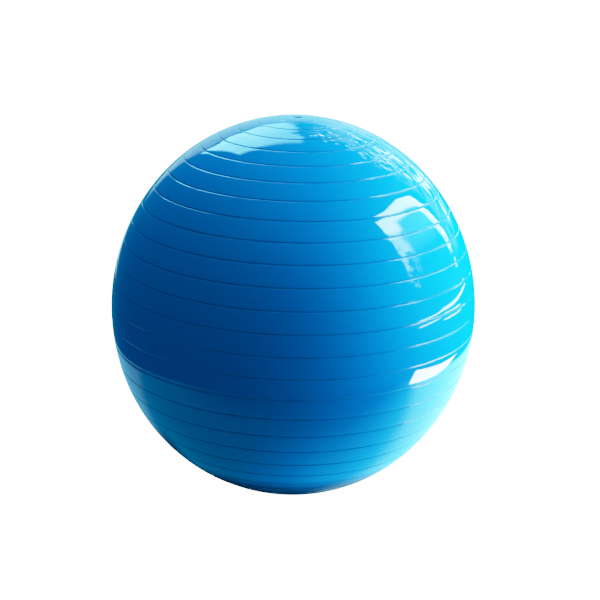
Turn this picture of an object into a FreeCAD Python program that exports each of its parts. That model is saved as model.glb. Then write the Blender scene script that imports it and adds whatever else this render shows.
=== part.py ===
"""Inflatable exercise ball: a hollow vinyl shell creased by grip rings, a valve seat and an air plug.

Millimetres. +Z is the ball's polar axis, which runs through the valve, and points up.
The origin is the centre of the flat patch on which the inflated ball rests on the floor.
Every sub-part is turned: closed outlines, drawn in the XZ plane, go a full turn round Z.
An outline's corners are pairs of expressions: radius from the axis, then height.
"""

import FreeCAD, Part
import math
import os

import Sketcher

FULL_TURN = 360.0
START, END, CENTRE = 1, 2, 3  # the points of a sketched line or arc
SKETCH_ORIGIN = (-1, 1)
POLAR_LINE = -2  # the sketch's own vertical axis

DIMENSIONS = {
    # The inflated ball, a little taller through the valve than it is wide
    "ball_height": 650.0,
    "equator_radius": 310.0,
    "patch_radius": 35.0,
    "wall_thickness": 0.9,
    # Grip rings, shallow grooves evenly spaced in angle from pole to pole, none on the equator
    "ring_pitch_angle": 180.0 / 29.0,
    "rings_above": 14,
    "rings_below": 13,
    "ring_round_radius": 2.2,
    "ring_depth": 0.4,
    # Valve seat, bonded into the opening at the upper pole
    "opening_radius": 11.0,
    "bond_gap": 0.01,
    "flange_radius": 17.0,
    "flange_thickness": 1.8,
    "seat_neck_radius": 7.0,
    "seat_length": 18.0,
    "seat_bore_radius": 4.0,
    "seat_lead_in": 0.8,
    "pocket_radius": 6.4,
    "pocket_depth": 2.4,
    # Air plug, pushed down into the seat's bore
    "head_radius": 6.0,
    "head_thickness": 1.4,
    "head_rim_round": 0.45,
    "plug_length": 21.0,
    "stem_radius": 3.4,
    "seal_radius": 3.96,
    "seal_count": 3,
    "seal_width": 2.0,
    "seal_spacing": 3.6,
    "first_seal_depth": 4.6,
    "tip_radius": 2.7,
    "tip_length": 2.6,
    "core_radius": 1.6,
    "core_depth": 15.0,
}

# The skin is an ellipsoid whose lower end the floor flattens into the resting patch
EQUATOR = "Dimensions.equator_radius"
POLE = (
    "(Dimensions.ball_height"
    " / (1 + sqrt(1 - (Dimensions.patch_radius / Dimensions.equator_radius)^2)))"
)
MIDDLE = f"(Dimensions.ball_height - {POLE})"
SKIN = (EQUATOR, POLE)
CAVITY = (f"({EQUATOR} - Dimensions.wall_thickness)", f"({POLE} - Dimensions.wall_thickness)")
HALF_OPENING = "(0.5 * Dimensions.opening_radius)"


def make_sheet(doc):
    sheet = doc.addObject("Spreadsheet::Sheet", "Dimensions")
    for row, (alias, value) in enumerate(DIMENSIONS.items(), start=1):
        sheet.set(f"A{row}", alias.replace("_", " "))
        sheet.set(f"B{row}", str(value))
        sheet.setAlias(f"B{row}", alias)
    doc.recompute()
    return sheet


def make_body(doc, label):
    body = doc.addObject("PartDesign::Body", label)
    body.Label = label
    return body


def make_sketch(body, name):
    """A sketch on the body's own XZ plane, with radius across and height up."""
    sketch = body.newObject("Sketcher::SketchObject", name)
    plane = next(f for f in body.Origin.OriginFeatures if f.Role == "XZ_Plane")
    sketch.AttachmentSupport = [(plane, "")]
    sketch.MapMode = "FlatFace"
    return sketch


def value(sketch, text):
    """The number that an expression gives now."""
    result = sketch.evalExpression(text)
    return float(getattr(result, "Value", result))


def place(sketch, corner):
    """A corner's present position in the sketch plane."""
    return FreeCAD.Vector(value(sketch, corner[0]), value(sketch, corner[1]), 0)


def bind(sketch, rules):
    """Adds constraints whose values follow expressions. A rule is a kind, its elements and a text."""
    fresh = [
        Sketcher.Constraint(kind, *elements, value(sketch, text))
        for kind, elements, text in rules
    ]
    for index, (_, _, text) in zip(sketch.addConstraint(fresh), rules):
        sketch.setExpression(f"Constraints[{index}]", text)


def circle_side(start, end, radius):
    """The arc of under half a turn from start to end that bulges to the right of the way it runs."""
    chord = end - start
    to_left = FreeCAD.Vector(-chord.y, chord.x, 0).normalize()
    reach = math.sqrt(radius**2 - (chord.Length / 2) ** 2)
    centre = start + chord * 0.5 + to_left * reach
    circle = Part.Circle(centre, FreeCAD.Vector(0, 0, 1), radius)
    return Part.ArcOfCircle(circle, circle.parameter(start), circle.parameter(end))


def ends(side, dents):
    """Which of a side's points are its first and last. A dented side is drawn back to front."""
    return (END, START) if side in dents else (START, END)


def ellipse_side(start, end, equator, pole, middle):
    """The arc of a standing ellipse from start, low on its right, up to end, high on its right."""
    ellipse = Part.Ellipse(
        FreeCAD.Vector(0, middle + pole, 0),
        FreeCAD.Vector(-equator, middle, 0),
        FreeCAD.Vector(0, middle, 0),
    )
    return Part.ArcOfEllipse(ellipse, ellipse.parameter(start), ellipse.parameter(end))


def draw_outline(body, name, corners, radii=None, ellipses=None, dents=()):
    """A closed outline through corners, running anticlockwise, with side i leaving corner i.

    radii gives a round side's radius, and ellipses the half axes of a side on an ellipsoid,
    which then sets how far across it starts and how high it ends. Other sides are straight.
    Round sides bulge outwards, except those in dents, which curve inwards.
    """
    sketch = make_sketch(body, name)
    radii = radii or {}
    ellipses = ellipses or {}
    points = [place(sketch, corner) for corner in corners]
    count = len(points)
    for i, start in enumerate(points):
        end = points[(i + 1) % count]
        if i in radii:
            way = (end, start) if i in dents else (start, end)
            side = circle_side(*way, value(sketch, radii[i]))
        elif i in ellipses:
            sizes = [value(sketch, text) for text in (*ellipses[i], MIDDLE)]
            side = ellipse_side(start, end, *sizes)
        else:
            side = Part.LineSegment(start, end)
        sketch.addGeometry(side)
    for i in range(count):
        after = (i + 1) % count
        joint = (i, ends(i, dents)[1], after, ends(after, dents)[0])
        sketch.addConstraint(Sketcher.Constraint("Coincident", *joint))
    rules = [("Radius", (i,), text) for i, text in radii.items()]
    for i, (across, up) in enumerate(corners):
        corner = (i, ends(i, dents)[0])
        if abs(points[i].x) < 1e-6:
            sketch.addConstraint(Sketcher.Constraint("PointOnObject", *corner, POLAR_LINE))
        elif i not in ellipses:
            rules.append(("DistanceX", (*SKETCH_ORIGIN, *corner), across))
        if i - 1 not in ellipses:
            rules.append(("DistanceY", (*SKETCH_ORIGIN, *corner), up))
    for i, half_axes in ellipses.items():
        rules += ellipse_rules(sketch, i, *half_axes)
    bind(sketch, rules)
    return sketch


def ellipse_rules(sketch, side, equator, pole):
    """Stands an ellipse on the polar axis about the ball's centre, and gives its two sizes."""
    sketch.exposeInternalGeometry(side)
    tall, wide = [
        i for i, g in enumerate(sketch.Geometry) if i > side and is_ellipse_axis(sketch, i)
    ][-2:]
    for point in ((side, CENTRE), (tall, START)):
        sketch.addConstraint(Sketcher.Constraint("PointOnObject", *point, POLAR_LINE))
    return [
        ("DistanceY", (*SKETCH_ORIGIN, side, CENTRE), MIDDLE),
        ("Distance", (tall,), f"2 * {pole}"),
        ("Distance", (wide,), f"2 * {equator}"),
    ]


def is_ellipse_axis(sketch, number):
    """Whether a sketched item is one of the two lines that carry an ellipse's axes."""
    return sketch.getConstruction(number) and isinstance(
        sketch.Geometry[number], Part.LineSegment
    )


def turn(body, kind, name, sketch):
    """Turns an outline round the polar axis, to add material or, as a groove, to cut it."""
    feature = body.newObject(f"PartDesign::{kind}", name)
    feature.Profile = sketch
    feature.ReferenceAxis = (sketch, ["V_Axis"])
    feature.Angle = FULL_TURN
    sketch.Visibility = False
    body.Tip = feature
    body.Document.recompute()
    return feature


def on_skin(angle):
    """The corner on the skin at an angle above the equator."""
    return (f"{EQUATOR} * cos({angle})", f"{MIDDLE} + {POLE} * sin({angle})")


def height_at(radius, half_axes):
    """The height of an ellipsoid's upper half at a distance from the axis."""
    equator, pole = half_axes
    return f"({MIDDLE} + {pole} * sqrt(1 - ({radius} / {equator})^2))"


def travel(angle):
    """How far the skin's outline runs per radian of angle above the equator."""
    return f"sqrt(({EQUATOR} * sin({angle}))^2 + ({POLE} * cos({angle}))^2)"


def band_radius(lower, upper):
    """The radius of the skin's outline half way between two angles."""
    between = f"(0.5 * ({lower} + {upper}))"
    return f"({travel(between)}^3 / ({EQUATOR} * {POLE}))"


def ring_angles():
    """Each grip ring's angle above the equator, from the floor up.

    The lowest ring of the mould lies in the resting patch, where the floor presses it flat.
    """
    numbers = range(-DIMENSIONS["rings_below"], DIMENSIONS["rings_above"])
    return [f"({n + 0.5} * Dimensions.ring_pitch_angle * 1 deg)" for n in numbers]


def skin_sides():
    """The corners up the outside and the radius of the side that leaves each one.

    Bands that follow the skin alternate with rings, which are round dents in it.
    """
    clear = "(Dimensions.ring_round_radius - Dimensions.ring_depth)"
    half_width = f"sqrt(Dimensions.ring_round_radius^2 - {clear}^2)"
    below = f"(-acos(Dimensions.patch_radius / {EQUATOR}))"
    corners = [("Dimensions.patch_radius", "0 mm")]
    radii = []
    for angle in ring_angles():
        share = f"({half_width} / {travel(angle)} * 1 rad)"
        lower, upper = f"({angle} - {share})", f"({angle} + {share})"
        radii += [band_radius(below, lower), "Dimensions.ring_round_radius"]
        corners += [on_skin(lower), on_skin(upper)]
        below = upper
    radii.append(band_radius(below, f"acos({HALF_OPENING} / {EQUATOR})"))
    return corners, radii


def ball_shell(doc):
    """A solid ball with its rings, then the air space and the valve opening cut out of it."""
    body = make_body(doc, "ball_shell")
    sides, radii = skin_sides()
    crown = height_at(HALF_OPENING, SKIN)
    corners = [("0 mm", "0 mm"), *sides, (HALF_OPENING, crown), ("0 mm", crown)]
    rounds = dict(enumerate(radii, start=1))
    rings = set(range(2, len(radii), 2))
    outline = draw_outline(body, "skin_outline", corners, rounds, dents=rings)
    solid = turn(body, "Revolution", "skin_and_rings", outline).Shape.Volume

    wall = "Dimensions.wall_thickness"
    above = f"(Dimensions.ball_height + {wall})"
    floor_edge = f"({CAVITY[0]} * sqrt(1 - (({MIDDLE} - {wall}) / {CAVITY[1]})^2))"
    mouth = height_at("Dimensions.opening_radius", CAVITY)
    corners = [
        ("0 mm", wall),
        (floor_edge, wall),
        ("Dimensions.opening_radius", mouth),
        ("Dimensions.opening_radius", above),
        ("0 mm", above),
    ]
    outline = draw_outline(body, "air_outline", corners, ellipses={1: CAVITY})
    hollow = turn(body, "Groove", "air_space", outline).Shape.Volume
    if hollow > 0.1 * solid:
        raise RuntimeError("the air space was not cut out of the shell")
    return body


def valve_seat(doc):
    """A soft stepped bush: collar in the opening, flange under the wall, neck hanging inside."""
    body = make_body(doc, "valve_seat")
    gap = "Dimensions.bond_gap"
    bore = "Dimensions.seat_bore_radius"
    neck = "Dimensions.seat_neck_radius"
    collar = f"(Dimensions.opening_radius - {gap})"
    flange = "Dimensions.flange_radius"
    pocket = "Dimensions.pocket_radius"
    bottom = "(Dimensions.ball_height - Dimensions.seat_length)"
    pocket_floor = "(Dimensions.ball_height - Dimensions.pocket_depth)"
    rim = height_at(flange, CAVITY)
    corners = [
        (bore, bottom),
        (neck, bottom),
        (neck, f"{rim} - 2 * Dimensions.flange_thickness"),
        ("Dimensions.opening_radius", f"{rim} - Dimensions.flange_thickness"),
        (flange, f"{rim} - 0.5 * Dimensions.flange_thickness"),
        (flange, f"{rim} - {gap}"),
        (collar, f"{height_at(collar, CAVITY)} - {gap}"),
        (collar, height_at(collar, SKIN)),
        (pocket, height_at(pocket, SKIN)),
        (pocket, pocket_floor),
        (f"({bore} + Dimensions.seat_lead_in)", pocket_floor),
        (bore, f"{pocket_floor} - Dimensions.seat_lead_in"),
    ]
    turn(body, "Revolution", "bush", draw_outline(body, "bush_outline", corners))
    return body


def air_plug(doc):
    """A flat-headed stopper with seal ridges on its stem and a hollow core that lets it squeeze."""
    body = make_body(doc, "air_plug")
    stem = "Dimensions.stem_radius"
    core = "Dimensions.core_radius"
    under_head = "(Dimensions.ball_height - Dimensions.pocket_depth)"
    top = f"({under_head} + Dimensions.head_thickness)"
    bottom = f"({top} - Dimensions.plug_length)"
    core_top = f"({bottom} + Dimensions.core_depth)"
    corners = [
        ("0 mm", core_top),
        (core, f"{core_top} - {core}"),
        (core, bottom),
        ("Dimensions.tip_radius", bottom),
        (stem, f"{bottom} + Dimensions.tip_length"),
    ]
    for number in reversed(range(DIMENSIONS["seal_count"])):
        depth = f"(Dimensions.first_seal_depth + {number} * Dimensions.seal_spacing)"
        for radius, share in (
            (stem, -0.5),
            ("Dimensions.seal_radius", 0.1),
            ("Dimensions.seal_radius", 0.3),
            (stem, 0.5),
        ):
            corners.append((radius, f"{top} - {depth} + {share} * Dimensions.seal_width"))
    corners += [
        (stem, under_head),
        ("Dimensions.head_radius", under_head),
        ("Dimensions.head_radius", top),
        ("0 mm", top),
    ]
    outline = draw_outline(body, "stopper_outline", corners)
    stopper = turn(body, "Revolution", "stopper", outline)
    rim = body.newObject("PartDesign::Fillet", "head_rim")
    rim.Base = (stopper, [widest_edge_at_top(stopper.Shape)])
    rim.setExpression("Radius", "Dimensions.head_rim_round")
    body.Tip = rim
    return body


def widest_edge_at_top(shape):
    """The name of the round edge that is highest and, at that height, largest."""
    circles = [
        (round(edge.BoundBox.ZMax, 3), edge.Curve.Radius, f"Edge{number}")
        for number, edge in enumerate(shape.Edges, start=1)
        if isinstance(edge.Curve, Part.Circle)
    ]
    return max(circles)[2]


def check(doc, bodies):
    """Stops with a message if any object failed or any sub-part is not one sound solid."""
    for item in doc.Objects:
        bad = {"Invalid", "Error"} & set(item.State)
        if bad:
            raise RuntimeError(f"{item.Label} is in state {sorted(bad)}")
    for body in bodies:
        shape = body.Shape
        if shape.isNull() or not shape.isValid() or len(shape.Solids) != 1:
            raise RuntimeError(f"{body.Label} is not one valid solid")


def main():
    doc = FreeCAD.newDocument("exercise_ball")
    make_sheet(doc)
    bodies = [ball_shell(doc), valve_seat(doc), air_plug(doc)]
    doc.recompute()
    check(doc, bodies)
    os.makedirs("parts", exist_ok=True)
    for body in bodies:
        body.Shape.exportStep(f"parts/{body.Label}.step")
        print(f"{body.Label}: {body.Shape.Volume / 1000:.2f} cm3")


main()
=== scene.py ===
"""An exercise ball at rest on a pale studio floor: ringed blue vinyl skin, valve seat and plug.

Metres, +Z up, origin where the ball touches the floor. Azimuth 0 faces the camera, which
stands towards -Y, and azimuth 90 faces +X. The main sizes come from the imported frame's boxes,
and the details that the boxes can't give are named values.
"""

import math

import bmesh
import bpy
from mathutils import Matrix, Vector, noise


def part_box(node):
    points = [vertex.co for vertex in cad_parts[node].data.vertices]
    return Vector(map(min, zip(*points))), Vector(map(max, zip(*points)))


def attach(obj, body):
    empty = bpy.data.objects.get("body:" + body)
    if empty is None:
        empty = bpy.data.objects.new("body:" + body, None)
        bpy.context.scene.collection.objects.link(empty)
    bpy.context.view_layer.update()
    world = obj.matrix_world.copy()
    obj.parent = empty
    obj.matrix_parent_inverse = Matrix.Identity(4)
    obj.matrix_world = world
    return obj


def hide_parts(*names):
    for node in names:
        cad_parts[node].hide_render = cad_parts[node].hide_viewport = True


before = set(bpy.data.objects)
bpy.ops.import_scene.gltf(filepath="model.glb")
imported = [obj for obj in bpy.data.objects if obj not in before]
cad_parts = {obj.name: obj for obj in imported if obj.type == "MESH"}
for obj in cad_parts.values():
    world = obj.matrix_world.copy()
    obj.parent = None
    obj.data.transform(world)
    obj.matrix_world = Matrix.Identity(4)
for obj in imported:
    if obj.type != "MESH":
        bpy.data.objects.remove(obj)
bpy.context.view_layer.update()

MM = 0.001
BALL, PLUG = "ball", "plug"

# Moulded details of the skin and plug. Rings are evenly spaced in angle, with none on the
# equator, and any that fall in the resting patch are pressed flat.
PITCHES_TO_POLE = 14.5
RINGS_EACH_SIDE = 14
RING_DEPTH = 0.5 * MM
RING_HALF_WIDTH = 1.35 * MM
SHOULDER_DIP = 0.10 * MM
SHOULDER_REACH = 7.0 * MM
PATCH_RADIUS = 35 * MM
OPENING_RADIUS = 11 * MM
WALL = 0.9 * MM
RING_DRIFT = 4.2 * MM
WAVE_FADE_AT_FOOT = 60 * MM
WAVE_FADE_AT_TOP = 4 * MM
PLUG_HEAD_THICKNESS = 1.4 * MM

# How finely the pieces are meshed
SKIN_SIDES = 156
VALVE_SIDES = 96
GROOVE_SHARES = (0.36, 0.68, 0.9)
SHOULDER_SHARES = (0.02, 0.1, 0.3, 0.6, 1.0)
ROWS_BETWEEN_RINGS = 2
ROWS_BY_OPENING = 3
ROWS_INSIDE = 26


# ---------------------------------------------------------------- shape helpers


def direction(azimuth, elevation):
    """The unit vector that points that way from the ball, angles in degrees."""
    a, e = math.radians(azimuth), math.radians(elevation)
    return Vector((math.sin(a) * math.cos(e), -math.cos(a) * math.cos(e), math.sin(e)))


def new_piece(name, mesh_tool):
    """A smooth-shaded object in the scene from a finished bmesh."""
    mesh = bpy.data.meshes.new(name)
    mesh_tool.to_mesh(mesh)
    mesh_tool.free()
    mesh.shade_smooth()
    piece = bpy.data.objects.new(name, mesh)
    bpy.context.scene.collection.objects.link(piece)
    return piece


def lathe(name, outline, sides, move=None, grooves=None):
    """A closed skin turned round the polar axis from an outline of (radius, height) pairs.

    The outline runs anticlockwise, seen with the axis on its left. A point on the axis
    becomes one vertex. move shifts a finished point, and grooves marks sunk points with 1.
    """
    tool = bmesh.new()
    mark = tool.verts.layers.float.new("groove") if grooves else None
    rows = []
    for number, (radius, height) in enumerate(outline):
        turns = sides if radius > 0 else 1
        row = []
        for step in range(turns):
            angle = 2 * math.pi * step / sides
            point = Vector((radius * math.cos(angle), radius * math.sin(angle), height))
            vert = tool.verts.new(move(point) if move else point)
            if grooves:
                vert[mark] = grooves[number]
            row.append(vert)
        rows.append(row)
    closed = outline[0][0] > 0
    pairs = list(zip(rows, rows[1:])) + ([(rows[-1], rows[0])] if closed else [])
    for below, above in pairs:
        for step in range(sides):
            ring = [
                below[step % len(below)],
                below[(step + 1) % len(below)],
                above[(step + 1) % len(above)],
                above[step % len(above)],
            ]
            tool.faces.new(list(dict.fromkeys(ring)))
    return new_piece(name, tool)


def rounded(corners, steps=5):
    """An outline with corners rounded by arcs. A corner is (radius, height, rounding in mm).

    A rounding of 0 keeps its corner sharp.
    """
    outline = []
    points = [Vector(corner[:2]) for corner in corners]
    for i, here in enumerate(points):
        bend = corners[i][2] * MM
        if not bend:
            outline.append(tuple(here))
            continue
        back = (points[i - 1] - here).normalized()
        ahead = (points[(i + 1) % len(points)] - here).normalized()
        half = back.angle(ahead) / 2
        start = here + back * bend / math.tan(half)
        end = here + ahead * bend / math.tan(half)
        centre = here + (back + ahead).normalized() * bend / math.sin(half)
        for step in range(steps + 1):
            spoke = (start - centre).lerp(end - centre, step / steps).normalized()
            outline.append(tuple(centre + spoke * bend))
    return outline


# ---------------------------------------------------------------- the ball's form


class Ball:
    """The inflated skin's ellipsoid, worked out from the shell's box."""

    low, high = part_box("ball_shell")
    pitch = math.pi / 2 / PITCHES_TO_POLE
    equator = (high.x - low.x + high.y - low.y) / 4
    foot = math.sqrt(1 - (PATCH_RADIUS / equator) ** 2)
    mouth = math.sqrt(1 - (OPENING_RADIUS / equator) ** 2)
    pole = high.z / (foot + mouth)
    middle = pole * foot


def on_ellipse(angle, inset=0.0):
    """Radius and height of the skin's outline at an angle above the equator."""
    return Vector(
        (
            (Ball.equator - inset) * math.cos(angle),
            Ball.middle + (Ball.pole - inset) * math.sin(angle),
        )
    )


def off_ellipse(angle):
    """The outward unit normal of the skin's outline."""
    return Vector(
        (Ball.pole * math.cos(angle), Ball.equator * math.sin(angle))
    ).normalized()


def settled(height, floor=0.0, softness=0.7 * MM):
    """A height pressed flat where it would pass below the floor, with a soft start."""
    above = height - floor
    return floor + (above + math.sqrt(above * above + softness * softness)) / 2


def ring_section():
    """Across one ring: (distance from its middle, depth, whether it is inside the groove)."""
    edge = RING_HALF_WIDTH
    section = [(0.0, SHOULDER_DIP + RING_DEPTH, 1.0)]
    for share in GROOVE_SHARES:
        section.append((edge * share, SHOULDER_DIP + RING_DEPTH * (1 - share**2), 1.0))
    for share in SHOULDER_SHARES:
        depth = SHOULDER_DIP * (1 - share) ** 2
        section.append((edge + SHOULDER_REACH * share, depth, 0.0))
    lower = [(-distance, depth, groove) for distance, depth, groove in section[:0:-1]]
    return lower + section


def skin_outline():
    """The outside of the skin from the foot to the valve opening, and each point's groove mark."""
    points, grooves = [], []
    foot_angle = -math.acos(PATCH_RADIUS / Ball.equator)
    mouth_angle = math.acos(OPENING_RADIUS / Ball.equator)
    section = ring_section()

    def add(angle, depth, groove):
        spot = on_ellipse(angle) - off_ellipse(angle) * depth
        points.append((spot.x, settled(spot.y)))
        grooves.append(groove)

    def band(start, end, count):
        for step in range(1, count + 1):
            add(start + (end - start) * step / (count + 1), 0.0, 0.0)

    points.append((0.0, settled(-RING_DEPTH)))
    grooves.append(0.0)
    angle = -math.pi / 2
    for number in range(-RINGS_EACH_SIDE, RINGS_EACH_SIDE):
        centre = (number + 0.5) * Ball.pitch
        run = (Ball.equator * math.sin(centre)) ** 2 + (Ball.pole * math.cos(centre)) ** 2
        reach = 1 / math.sqrt(run)
        pressed = centre < foot_angle
        band(angle, centre + section[0][0] * reach, ROWS_BETWEEN_RINGS)
        for distance, depth, groove in section:
            add(centre + distance * reach, 0.0 if pressed else depth, groove)
        angle = centre + section[-1][0] * reach
    band(angle, mouth_angle, ROWS_BY_OPENING)
    add(mouth_angle, 0.0, 0.0)
    return points, grooves


def wander(point):
    """The small unevenness of a real inflated skin: rings that drift and a faintly wavy wall."""
    height = (point.z - Ball.middle) / Ball.pole
    across = point.x / Ball.equator
    drift = RING_DRIFT * across * max(0.0, -height) * (1 + height) * 2
    broad_wave = noise.noise(point * 7.0) * 0.16 * MM
    fine_wave = noise.noise(point * 21.0) * 0.04 * MM
    wave = broad_wave + fine_wave
    away = Vector((point.x, point.y, point.z - Ball.middle)).normalized()
    from_foot = min(1.0, point.z / WAVE_FADE_AT_FOOT)
    from_top = min(1.0, (Ball.high.z - point.z) / WAVE_FADE_AT_TOP)
    return point + from_foot * from_top * (away * wave + Vector((0, 0, drift)))


def make_ball_skin():
    """The hollow skin: its ringed outside, then its plain inside back down to the foot."""
    outline, grooves = skin_outline()
    inside = []
    start = math.acos(OPENING_RADIUS / (Ball.equator - WALL))
    for step in range(ROWS_INSIDE):
        angle = start + (-math.pi / 2 - start) * step / ROWS_INSIDE
        spot = on_ellipse(angle, WALL)
        inside.append((spot.x, settled(spot.y, WALL)))
    inside.append((0.0, settled(-RING_DEPTH, WALL)))
    return lathe(
        "ball_skin", outline + inside, SKIN_SIDES, wander, grooves + [0.0] * len(inside)
    )


def make_valve_seat():
    """The soft bush bonded into the opening, with a lipped pocket for the plug's head."""
    low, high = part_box("valve_seat")
    plug_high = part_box("air_plug")[1]
    flange = high.x
    hairline = 0.01 * MM
    collar = OPENING_RADIUS - hairline
    pocket = plug_high.x + 0.4 * MM
    pocket_floor = plug_high.z - PLUG_HEAD_THICKNESS
    bore, neck, lead_in = 4.0 * MM, 7.0 * MM, 0.8 * MM
    flange_thickness, taper_start, taper_end = 0.9 * MM, 1.8 * MM, 3.6 * MM
    under = on_ellipse(math.acos(flange / (Ball.equator - WALL)), WALL).y
    rim = on_ellipse(math.acos(collar / Ball.equator)).y
    corners = [
        (bore, low.z, 0.3),
        (neck, low.z, 0.8),
        (neck, under - taper_end, 1.0),
        (OPENING_RADIUS, under - taper_start, 0.6),
        (flange, under - flange_thickness, 0.3),
        (flange, under - hairline, 0.1),
        (collar, under + 0.4 * MM, 0.0),
        (collar, rim, 0.25),
        (pocket, high.z, 0.35),
        (pocket, pocket_floor, 0.2),
        (bore + lead_in, pocket_floor, 0.2),
        (bore, pocket_floor - lead_in, 0.2),
    ]
    return lathe("valve_bush", rounded(corners), VALVE_SIDES)


def make_plug():
    """The stopper: a dished head over a stem with seal ridges and a hollow core."""
    low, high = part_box("air_plug")
    head = high.x
    under = high.z - PLUG_HEAD_THICKNESS
    dish = high.z - 0.25 * MM
    stem, seal, core, tip = 3.4 * MM, 3.96 * MM, 1.6 * MM, 2.7 * MM
    first_seal, seal_pitch, seal_count = 4.6, 3.6, 3
    corners = [
        (0.0, low.z + 15.0 * MM, 0.0),
        (core, low.z + 13.4 * MM, 0.5),
        (core, low.z, 0.3),
        (tip, low.z, 0.4),
        (stem, low.z + 2.6 * MM, 0.8),
    ]
    for number in reversed(range(seal_count)):
        middle = high.z - (first_seal + seal_pitch * number) * MM
        for radius, offset in ((stem, -1.0), (seal, 0.2), (seal, 0.6), (stem, 1.0)):
            corners.append((radius, middle + offset * MM, 0.2))
    corners += [
        (stem, under, 0.25),
        (head, under, 0.3),
        (head, high.z, 0.5),
        (head - 1.6 * MM, high.z, 0.6),
        (head - 2.3 * MM, dish, 0.6),
        (0.0, dish, 0.0),
    ]
    return lathe("air_stopper", rounded(corners), VALVE_SIDES)


# ---------------------------------------------------------------- shader arithmetic


class Value:
    """A number in a node tree. Plain arithmetic on it adds Math nodes to the tree."""

    def __init__(self, tree, socket):
        self.tree = tree
        self.socket = socket

    def math(self, operation, *others, clamp=False):
        node = self.tree.nodes.new("ShaderNodeMath")
        node.operation = operation
        node.use_clamp = clamp
        for slot, item in zip(node.inputs, (self, *others)):
            feed(self.tree, item, slot)
        return Value(self.tree, node.outputs[0])

    def __add__(self, other):
        return self.math("ADD", other)

    def __sub__(self, other):
        return self.math("SUBTRACT", other)

    def __mul__(self, other):
        return self.math("MULTIPLY", other)

    def __truediv__(self, other):
        return self.math("DIVIDE", other)

    def __rsub__(self, other):
        return self.math("MULTIPLY_ADD", -1.0, other)

    def __rtruediv__(self, other):
        return self.math("POWER", -1.0) * other

    __radd__ = __add__
    __rmul__ = __mul__

    def rise(self, start, end):
        """0 before start, 1 after end, smooth between. With start above end it falls."""
        node = self.tree.nodes.new("ShaderNodeMapRange")
        node.interpolation_type = "SMOOTHSTEP"
        low, high = (start, end) if start < end else (end, start)
        targets = (0.0, 1.0) if start < end else (1.0, 0.0)
        feed(self.tree, self, node.inputs[0])
        for slot, item in zip(node.inputs[1:5], (low, high, *targets)):
            slot.default_value = item
        return Value(self.tree, node.outputs[0])

    def between(self, low, high, soft):
        """1 from low to high, with soft edges."""
        return self.rise(low - soft, low + soft) * self.rise(high + soft, high - soft)


def feed(tree, item, slot):
    """Sets a node's input from a Value, a socket or a constant."""
    if isinstance(item, Value):
        item = item.socket
    if isinstance(item, bpy.types.NodeSocket):
        tree.links.new(item, slot)
    else:
        slot.default_value = item


def coordinates(tree, vector):
    """The three numbers of a vector."""
    node = tree.nodes.new("ShaderNodeSeparateXYZ")
    feed(tree, vector, node.inputs[0])
    return [Value(tree, socket) for socket in node.outputs]


def joined(tree, x, y, z=0.0):
    """A vector from three numbers."""
    node = tree.nodes.new("ShaderNodeCombineXYZ")
    for slot, item in zip(node.inputs, (x, y, z)):
        feed(tree, item, slot)
    return node.outputs[0]


def dot(tree, vector, constant):
    """How far a vector reaches along a constant one."""
    node = tree.nodes.new("ShaderNodeVectorMath")
    node.operation = "DOT_PRODUCT"
    feed(tree, vector, node.inputs[0])
    node.inputs[1].default_value = tuple(constant)
    return Value(tree, node.outputs["Value"])


def grain(tree, place, scale, detail=2.0, roughness=0.5):
    """Smooth noise of about 0 to 1 at a place. Its features are about 1 / scale units across."""
    node = tree.nodes.new("ShaderNodeTexNoise")
    feed(tree, place, node.inputs["Vector"])
    node.inputs["Scale"].default_value = scale
    node.inputs["Detail"].default_value = detail
    node.inputs["Roughness"].default_value = roughness
    return Value(tree, node.outputs["Factor"] if "Factor" in node.outputs else node.outputs[0])


def rotated(tree, place, azimuth):
    """A place turned round the polar axis."""
    node = tree.nodes.new("ShaderNodeVectorRotate")
    node.rotation_type = "Z_AXIS"
    feed(tree, place, node.inputs["Vector"])
    node.inputs["Angle"].default_value = math.radians(azimuth)
    return node.outputs[0]


def mixed(tree, share, first, second):
    """A colour between two colours."""
    node = tree.nodes.new("ShaderNodeMix")
    node.data_type = "RGBA"
    feed(tree, share, node.inputs["Factor"])
    for slot, item in zip(
        [s for s in node.inputs if s.type == "RGBA"], (first, second)
    ):
        feed(tree, item, slot)
    return next(s for s in node.outputs if s.type == "RGBA")


def rgb(red, green, blue):
    """An opaque colour."""
    return (red, green, blue, 1.0)


def bumped(tree, height, distance, under=None):
    """A normal tilted by a height pattern whose full swing is distance metres."""
    node = tree.nodes.new("ShaderNodeBump")
    feed(tree, height, node.inputs["Height"])
    node.inputs["Distance"].default_value = distance
    node.inputs["Strength"].default_value = 1.0
    if under:
        tree.links.new(under, node.inputs["Normal"])
    return node.outputs[0]


def new_material(name):
    """A material, its node tree, its surface shader and the coordinates of the surface point."""
    material = bpy.data.materials.new(name)
    material.use_nodes = True
    tree = material.node_tree
    shader = next(n for n in tree.nodes if n.type == "BSDF_PRINCIPLED")
    place = tree.nodes.new("ShaderNodeTexCoord").outputs["Object"]
    return material, tree, shader, place


# ---------------------------------------------------------------- materials

SKIN_DARK = rgb(0.0002, 0.104, 0.54)
SKIN_LIGHT = rgb(0.0006, 0.127, 0.61)
# Painted shade for the ring grooves, mixed with some dirt
GROOVE_SHADE_AND_DIRT = rgb(0.0004, 0.03, 0.10)
DUST = rgb(0.02, 0.20, 0.45)
FLOOR_SHADE = rgb(0.0, 0.055, 0.07)
SEAT_DARK = rgb(0.0005, 0.09, 0.46)
SEAT_LIGHT = rgb(0.001, 0.115, 0.54)
PLUG_DARK = rgb(0.001, 0.045, 0.13)
PLUG_LIGHT = rgb(0.002, 0.06, 0.17)
VINYL_IOR = 1.5
TURNING_PITCH = 0.5 * MM


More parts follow.
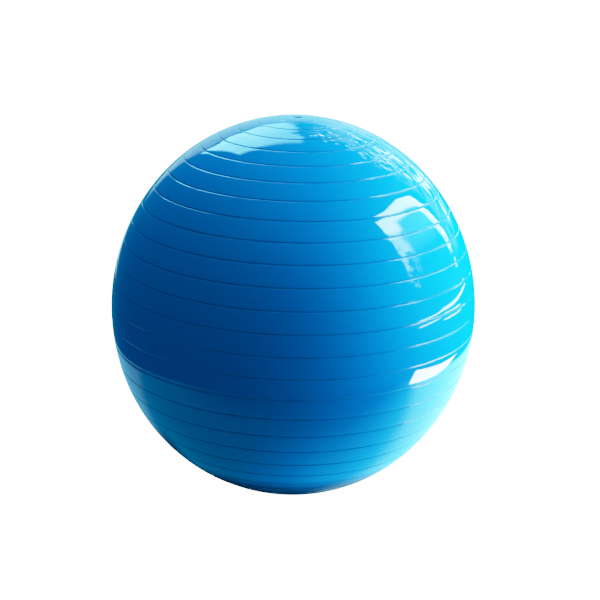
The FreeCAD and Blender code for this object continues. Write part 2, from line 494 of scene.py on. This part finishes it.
def skin_vinyl():
    """Glossy PVC: cloudy colour, painted shade and dirt in the grooves, faint orange peel, dust and
    shade low down.
    """
    material, tree, shader, place = new_material("blue_vinyl")
    height = coordinates(tree, place)[2]
    clouds = grain(tree, place, 6.0, 3.0)
    mottle = grain(tree, place, 90.0, 2.0)
    groove = tree.nodes.new("ShaderNodeAttribute")
    groove.attribute_name = "groove"
    sunk = Value(tree, groove.outputs["Fac"])
    # Painted shade in the ring grooves, partly dirt: it darkens their colour, roughens them and
    # weakens their gloss.
    groove_shade_and_dirt = sunk * (grain(tree, place, 38.0, 4.0).rise(0.25, 0.7) * 0.5 + 0.5)
    dusty = height.rise(0.16, 0.0) * grain(tree, place, 55.0, 5.0).rise(0.35, 0.8)

    tone = clouds * 0.7 + mottle * 0.3
    colour = mixed(tree, tone, SKIN_DARK, SKIN_LIGHT)
    # The painted groove shade grows stronger lower down.
    groove_shade_share = groove_shade_and_dirt * (height.rise(0.25, 0.06) * 0.4 + 0.5)
    colour = mixed(tree, groove_shade_share, colour, GROOVE_SHADE_AND_DIRT)
    colour = mixed(tree, dusty * 0.12, colour, DUST)
    shaded = height.rise(0.092, 0.066) * 0.5
    colour = mixed(tree, shaded, colour, FLOOR_SHADE)
    feed(tree, colour, shader.inputs["Base Color"])

    smears = grain(tree, rotated(tree, place, 20), 14.0, 3.0).rise(0.45, 0.8)
    rough = smears * 0.02 + groove_shade_and_dirt * 0.06 + dusty * 0.12 + mottle * 0.01 + 0.015
    feed(tree, rough, shader.inputs["Roughness"])
    feed(tree, 0.5 - groove_shade_and_dirt * 0.22, shader.inputs["Specular IOR Level"])
    shader.inputs["IOR"].default_value = VINYL_IOR

    peel = grain(tree, place, 260.0, 1.0)
    ripples = grain(tree, place, 45.0, 1.0)
    normal = bumped(tree, ripples, 0.03 * MM)
    normal = bumped(tree, peel, 0.006 * MM, normal)
    feed(tree, normal, shader.inputs["Normal"])
    return material


def moulded_vinyl(name, dark, light, roughness):
    """Satin PVC of the valve: cloudy colour, fine moulded grain and slight turning marks."""
    material, tree, shader, place = new_material(name)
    fine = grain(tree, place, 1400.0, 2.0)
    cloudy = grain(tree, place, 220.0, 3.0)
    colour = mixed(tree, cloudy, dark, light)
    feed(tree, colour, shader.inputs["Base Color"])
    feed(tree, fine * 0.08 + cloudy * 0.06 + roughness, shader.inputs["Roughness"])
    shader.inputs["Specular IOR Level"].default_value = 0.35
    shader.inputs["IOR"].default_value = VINYL_IOR
    x, y, _ = coordinates(tree, place)
    spread = (x * x + y * y).math("SQRT")
    marks = (spread * (2 * math.pi / TURNING_PITCH)).math("SINE")
    normal = bumped(tree, fine, 0.02 * MM)
    normal = bumped(tree, marks, 0.004 * MM, normal)
    feed(tree, normal, shader.inputs["Normal"])
    return material


# ---------------------------------------------------------------- studio

# The film: brightness shown as white, and the length and reach of its soft shoulder
FILM_WHITE = 2.0
FILM_SHOULDER = 1.5
FILM_REACH = 8.0
FILM_POINTS = 24

# Azimuths of the mirrored room's two walls with windows
RIGHT_WALL = 73
BACK_WALL = 180

# The camera: distance in radii of the ball, angles in degrees, lens in millimetres
CAMERA_DISTANCE = 7.90
CAMERA_ELEVATION = 18.2
CAMERA_ROLL = 1.43
CAMERA_SHIFT = (0.0113, 0.0090)
FOCAL_LENGTH = 85.56
SENSOR_WIDTH = 36.0

FLOOR_SIZE = 30.0
FLOOR_DROP = 0.2 * MM


def film_response():
    """A bright exposure with a long soft shoulder, so that strong light rolls off to white."""
    view = bpy.context.scene.view_settings
    view.view_transform = "Standard"
    view.look = "None"
    view.use_curve_mapping = True
    curves = view.curve_mapping
    curves.white_level = (FILM_WHITE,) * 3
    curves.extend = "HORIZONTAL"
    full = 1 - (1 + FILM_REACH / FILM_SHOULDER) ** -FILM_SHOULDER
    curve = curves.curves[3]
    for step in range(1, FILM_POINTS):
        x = (step / FILM_POINTS) ** 2.2
        y = (1 - (1 + x * FILM_REACH / FILM_SHOULDER) ** -FILM_SHOULDER) / full
        curve.points.new(x, y)
    curves.update()


def light_path(tree):
    """The outputs that tell which kind of ray is asking."""
    return tree.nodes.new("ShaderNodeLightPath").outputs


def stack(tree, layers, kind):
    """Adds up light layers, each an amount and a colour, into one shader."""
    total = None
    for amount, colour in layers:
        node = tree.nodes.new(kind)
        feed(tree, amount, node.inputs["Strength"])
        node.inputs["Color"].default_value = colour
        if total is None:
            total = node.outputs[0]
            continue
        both = tree.nodes.new("ShaderNodeAddShader")
        tree.links.new(total, both.inputs[0])
        tree.links.new(node.outputs[0], both.inputs[1])
        total = both.outputs[0]
    return total


WHITE = rgb(1.0, 1.0, 1.0)
GLARE = rgb(0.45, 1.0, 0.9)
SUN = rgb(0.75, 1.0, 0.93)
SKY = rgb(0.05, 0.50, 1.0)
LILAC = rgb(0.32, 0.85, 1.0)
HIGH = rgb(0.12, 0.58, 1.0)
STEEL = rgb(0.30, 0.72, 1.0)
AQUA = rgb(0.012, 0.50, 1.0)
MINT = rgb(0.35, 1.0, 0.75)
CYAN = rgb(0.0, 0.43, 1.0)
TEAL = rgb(0.0, 1.0, 0.55)
DEEP = rgb(0.0, 0.16, 1.0)
POOL = rgb(0.0, 0.22, 1.0)
PAPER = rgb(0.98, 0.99, 0.97)


def facing(tree, way, azimuth):
    """Where a direction meets a wall one unit away that faces the ball: across, up, in front."""
    front = dot(tree, way, direction(azimuth, 0))
    side = dot(tree, way, direction(azimuth + 90, 0))
    up = coordinates(tree, way)[2]
    ahead = front.rise(0.0, 0.05)
    reach = front.math("MAXIMUM", 0.02)
    return side / reach, up / reach, ahead


def lobe(tree, way, azimuth, elevation, tightness):
    """A soft glow that is 1 in one direction and dies away round it."""
    return ((dot(tree, way, direction(azimuth, elevation)) - 1.0) * tightness).math("EXPONENT")


def big_window(tree, way):
    """The daylight window on the right: glare along its top and sides, foliage below."""
    u, v, ahead = facing(tree, way, RIGHT_WALL)
    leaning = u - (1.04 - v) * 0.40
    sloping = v + (u - 0.9).math("MAXIMUM", 0.0) * 0.25
    left_edge = u.rise(0.13, 0.16)
    right_edge = leaning.rise(1.36, 1.32)
    sill = v.rise(0.12, 0.2)
    top_edge = sloping.rise(1.06, 1.03)
    opening = left_edge * right_edge * sill * top_edge * ahead
    leaves = grain(tree, joined(tree, u, v), 9.0, 5.0, 0.65)
    band = sloping.rise(0.76, 0.88)
    block = u.rise(0.50, 0.36) * (v + leaves * 0.3).rise(0.78, 0.90)
    far = leaning.rise(1.02, 1.14) * (leaves + v * 0.3).rise(0.50, 0.66)
    near = u.rise(0.42, 0.30) * (leaves + v * 0.5).rise(0.62, 0.80) * 0.45
    glare = band.math("MAXIMUM", block).math("MAXIMUM", far).math("MAXIMUM", near)
    trail = (u + v * 0.35).between(1.45, 1.60, 0.03) * v.between(-0.1, 0.45, 0.05)
    trail = trail * leaves.rise(0.48, 0.58) * ahead * 0.6
    pale = v.rise(0.30, 0.60) * (leaves * 0.8 + 0.5)
    return opening * glare + trail, opening * pale


def back_windows(tree, way):
    """A pale window behind on the left, and leaves behind on the right: bright gaps and haze."""
    u, v, ahead = facing(tree, way, BACK_WALL)
    uneven = grain(tree, joined(tree, u, v, 2.0), 5.0, 3.0) * 0.3 - 0.15
    left_edge = (u + v * 0.12 + uneven).rise(0.07, 0.14)
    right_edge = (u - v * 0.2).rise(0.44, 0.40)
    sill = (v + uneven).rise(0.44, 0.50)
    top_edge = v.rise(1.50, 1.25)
    fading = u.rise(-0.1, 0.5) * 0.45 + 0.55
    window = left_edge * right_edge * sill * top_edge * ahead
    window = window * fading * (1.0 + uneven * 2.5)
    gaps = grain(tree, joined(tree, u, v, 4.0), 10.0, 3.0, 0.55)
    tall = (u + v * 0.25).between(-0.63, -0.33, 0.03) * v.between(0.02, 1.15, 0.05)
    close = tall * gaps.rise(0.48, 0.66) * 0.75
    hazy = u.between(-1.0, -0.12, 0.1) * v.between(0.0, 0.9, 0.1)
    haze = hazy * gaps.rise(0.40, 0.60) * ahead
    spots = grain(tree, joined(tree, u, v, 7.0), 15.0, 3.0)
    spotted = u.between(-0.5, -0.12, 0.05) * v.between(0.45, 1.1, 0.06)
    sparse = spotted * spots.rise(0.60, 0.66)
    return window, (close + sparse) * ahead, haze


def rear_wall(tree, way):
    """The light strip of wall behind the ball, which its top rim mirrors."""
    u, v, ahead = facing(tree, way, BACK_WALL)
    bright = u.between(-0.20, 0.46, 0.05) * 0.7
    dim = u.between(-0.5, 0.46, 0.05) * 0.3
    return (bright + dim) * (v.between(-0.02, 0.43, 0.03) * ahead)


def streaks(tree, way):
    """Two thin lines of light low on the right."""
    u, v, ahead = facing(tree, way, RIGHT_WALL)
    upper = (v + (u - 0.6).math("MAXIMUM", 0.0) * 0.13 + 0.128).math("ABSOLUTE")
    lower = (v + u * 0.17 + 0.09).math("ABSOLUTE")
    upper = u.between(0.17, 2.0, 0.03) * upper.rise(0.016, 0.008)
    lower = u.between(0.66, 1.3, 0.06) * lower.rise(0.016, 0.008)
    return (upper + lower * 0.8) * ahead


def room_glow(tree, way):
    """The soft light and dark of the room that the skin mirrors in every direction."""
    return [
        (lobe(tree, way, 95, 15, 4.5) * 6.0, CYAN),
        (lobe(tree, way, 135, 8, 5.0) * 1.0, TEAL),
        (lobe(tree, way, 0, 90, 2.5) * 0.7, CYAN),
        (lobe(tree, way, 0, 0, 0.1) * 0.13, DEEP),
    ]


def mirrored_windows(tree, way):
    """The bright things above the floor that the skin mirrors."""
    glare, pale = big_window(tree, way)
    window, gaps, haze = back_windows(tree, way)
    return [
        (glare * 13.0, GLARE),
        (pale * 6.0, SKY),
        (window * 8.0, HIGH),
        (gaps * 11.0, LILAC),
        (haze * 1.0, LILAC),
        (rear_wall(tree, way) * 0.66, STEEL),
    ]


def body_light(tree, way):
    """The light on the skin's own colour: from the right, from high behind, and a faint fill."""
    return [
        (lobe(tree, way, 120, 0, 7.0) * 13.5, WHITE),
        (lobe(tree, way, 140, 40, 6.0) * 3.6, WHITE),
        (lobe(tree, way, -45, 0, 3.0) * 0.14, WHITE),
    ]


def only_for(rays, layers):
    """The same light layers, seen by one kind of ray."""
    return [(amount * rays, colour) for amount, colour in layers]


def make_world():
    """The room for mirror rays, soft light for the skin's colour, and paper for the camera."""
    world = bpy.data.worlds.new("studio")
    world.use_nodes = True
    tree = world.node_tree
    tree.nodes.clear()
    way = tree.nodes.new("ShaderNodeTexCoord").outputs["Generated"]
    path = light_path(tree)
    glossy = Value(tree, path["Is Glossy Ray"])
    camera = Value(tree, path["Is Camera Ray"])
    layers = only_for(glossy, room_glow(tree, way) + mirrored_windows(tree, way))
    layers += only_for((1.0 - glossy) * (1.0 - camera), body_light(tree, way))
    layers.append((camera * FILM_WHITE, PAPER))
    output = tree.nodes.new("ShaderNodeOutputWorld")
    tree.links.new(stack(tree, layers, "ShaderNodeBackground"), output.inputs["Surface"])
    world.cycles.sampling_method = "NONE"
    bpy.context.scene.world = world


def open_share(x, y):
    """How much of the sky a floor point sees past the ball, 0 to 1."""
    height = Ball.middle
    hidden = Ball.equator**2 * height / (x * x + y * y + height**2).math("POWER", 1.5)
    return 1.0 - hidden


def mirrored_floor(x, y, open_sky):
    """What the skin mirrors low down: a round mat with a sun patch and tints, a pale far floor."""
    reach = (x * x + y * y).math("SQRT")
    across = (x - 0.05) / 0.72
    deep = y * (1.0 - y.rise(0.0, 0.2) * 0.35) / 0.67
    mat = (across * across + deep * deep).math("SQRT").rise(1.03, 0.97)
    behind = x.between(-0.30, 0.12, 0.06) * y.rise(-0.08, 0.02)
    shade = reach.rise(0.14, 0.20) * (1.0 - behind * 0.9)
    slope = x.math("MAXIMUM", 0.0) * y.rise(-0.45, -0.05) * y.rise(1.0, 0.1)
    near_edge = x - (y + 0.29) * 0.36
    patch = near_edge.rise(0.61, 0.64) * x.rise(0.845, 0.82) * y.rise(-0.30, -0.28)
    patch = patch * y.rise(0.45, 0.1)
    pool = reach.rise(0.45, 0.15) * x.rise(-0.15, 0.12) * shade
    pale = x.rise(0.08, 0.36) * (y + x * 0.25).rise(-0.14, -0.02)
    side = x.between(0.06, 0.22, 0.03) * y.between(-0.12, 0.06, 0.03)
    far = y.rise(1.3, 1.6) * x.between(-1.0, 0.6, 0.2)
    return mat, [
        (mat * slope * open_sky * shade * 14.5, AQUA),
        (mat * open_sky * shade * y.rise(-0.7, -0.25) * 0.45, CYAN),
        (pool * open_sky * 2.2, POOL),
        (mat * pale * open_sky * 1.4, MINT),
        (mat * x.rise(-0.15, -0.45) * y.rise(0.0, 0.12) * open_sky * 0.20, STEEL),
        (side * 0.25, LILAC),
        (patch * 17.0, SUN),
        (far * 0.85, LILAC),
    ]


def floor_light(tree):
    """The floor's two looks: nearly white to the camera, a sunlit mat in a room to the skin."""
    geometry = tree.nodes.new("ShaderNodeNewGeometry")
    x, y, _ = coordinates(tree, geometry.outputs["Position"])
    flip = tree.nodes.new("ShaderNodeVectorMath")
    flip.operation = "SCALE"
    flip.inputs["Scale"].default_value = -1.0
    tree.links.new(geometry.outputs["Incoming"], flip.inputs[0])
    open_sky = open_share(x, y)
    path = light_path(tree)
    glossy = Value(tree, path["Is Glossy Ray"])
    camera = Value(tree, path["Is Camera Ray"])
    mat, floor_glow = mirrored_floor(x, y, open_sky)
    beyond = glossy * (1.0 - mat) * open_sky
    way = flip.outputs[0]
    layers = only_for(glossy, floor_glow) + only_for(beyond, room_glow(tree, way))
    layers += only_for(glossy, [(streaks(tree, way) * 11.0, GLARE)])
    # To the camera the floor is near white, with a faint painted shadow round the ball.
    layers.append((camera * FILM_WHITE * (open_sky * 0.1 + 0.9), PAPER))
    return layers


def make_floor():
    """A plain floor a hair below the resting face, so that the two don't coincide."""
    tool = bmesh.new()
    bmesh.ops.create_grid(tool, x_segments=1, y_segments=1, size=FLOOR_SIZE / 2)
    floor = new_piece("floor", tool)
    floor.location.z = -FLOOR_DROP
    floor.visible_diffuse = False
    material = bpy.data.materials.new("pale_floor")
    material.use_nodes = True
    tree = material.node_tree
    tree.nodes.clear()
    output = tree.nodes.new("ShaderNodeOutputMaterial")
    light = stack(tree, floor_light(tree), "ShaderNodeEmission")
    tree.links.new(light, output.inputs["Surface"])
    floor.data.materials.append(material)


def make_camera():
    """Stands in front, a little above the ball, held very slightly off level."""
    centre = Vector((0, 0, Ball.middle))
    distance = CAMERA_DISTANCE * Ball.equator
    away = direction(0, CAMERA_ELEVATION)
    lens = bpy.data.cameras.new("camera")
    lens.sensor_width = SENSOR_WIDTH
    lens.lens = FOCAL_LENGTH
    lens.shift_x, lens.shift_y = CAMERA_SHIFT
    camera = bpy.data.objects.new("camera", lens)
    turn = away.to_track_quat("Z", "Y").to_matrix().to_4x4()
    roll = Matrix.Rotation(math.radians(CAMERA_ROLL), 4, "Z")
    camera.matrix_world = Matrix.Translation(centre + away * distance) @ turn @ roll
    bpy.context.scene.collection.objects.link(camera)
    bpy.context.scene.camera = camera


# ---------------------------------------------------------------- assembly

PIECES = (
    # make, finish, body, CAD node, material slot
    (make_ball_skin, skin_vinyl(), BALL, "ball_shell", "shell_vinyl"),
    (
        make_valve_seat,
        moulded_vinyl("seat_vinyl", SEAT_DARK, SEAT_LIGHT, 0.10),
        BALL,
        "valve_seat",
        "seat_vinyl",
    ),
    (
        make_plug,
        moulded_vinyl("plug_vinyl", PLUG_DARK, PLUG_LIGHT, 0.26),
        PLUG,
        "air_plug",
        "plug_vinyl",
    ),
)

for make, finish, body, node, slot in PIECES:
    piece = make()
    piece.data.materials.append(finish)
    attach(piece, body)
    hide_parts(node)

make_floor()
make_world()
make_camera()
film_response()
